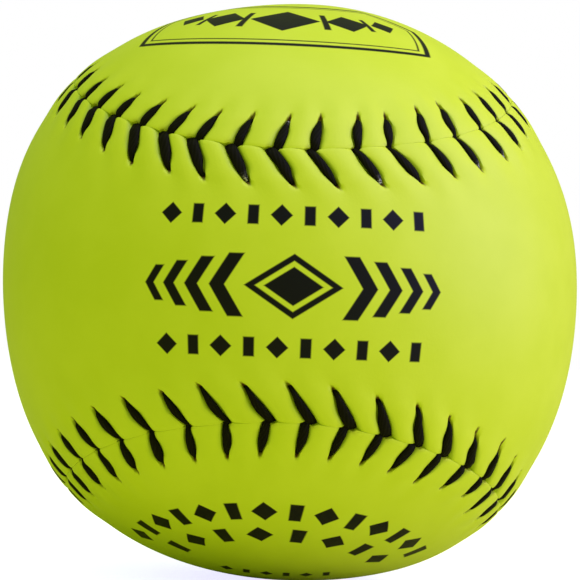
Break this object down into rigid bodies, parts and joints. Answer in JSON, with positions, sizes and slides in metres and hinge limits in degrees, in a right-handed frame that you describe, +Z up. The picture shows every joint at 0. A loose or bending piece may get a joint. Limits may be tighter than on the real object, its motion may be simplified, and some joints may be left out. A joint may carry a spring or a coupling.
{
  "type": "softball",
  "caption": "Optic yellow softball: moulded core, two figure-eight cover panels closed by raised black double stitching along one seam.",
  "frame": {"origin": "centre of the ball", "axes": "+Z up as the ball lies in the picture; -Y is the middle of the front panel's narrow neck, which faces the viewer; the front panel's broad lobes are at +X and -X, the back panel's at +Z and -Z, and the back panel's neck is at +Y"},
  "size_m": [0.097, 0.097, 0.097],
  "materials": {
    "core": "moulded foamed polyurethane, matt",
    "cover": "smooth synthetic leather, optic yellow, soft sheen",
    "thread": "waxed black thread, pressed flat"
  },
  "bodies": {
    "root": {"core": "core", "front_panel": "cover", "back_panel": "cover", "first_strand": "thread", "second_strand": "thread"}
  },
  "joints": []
}
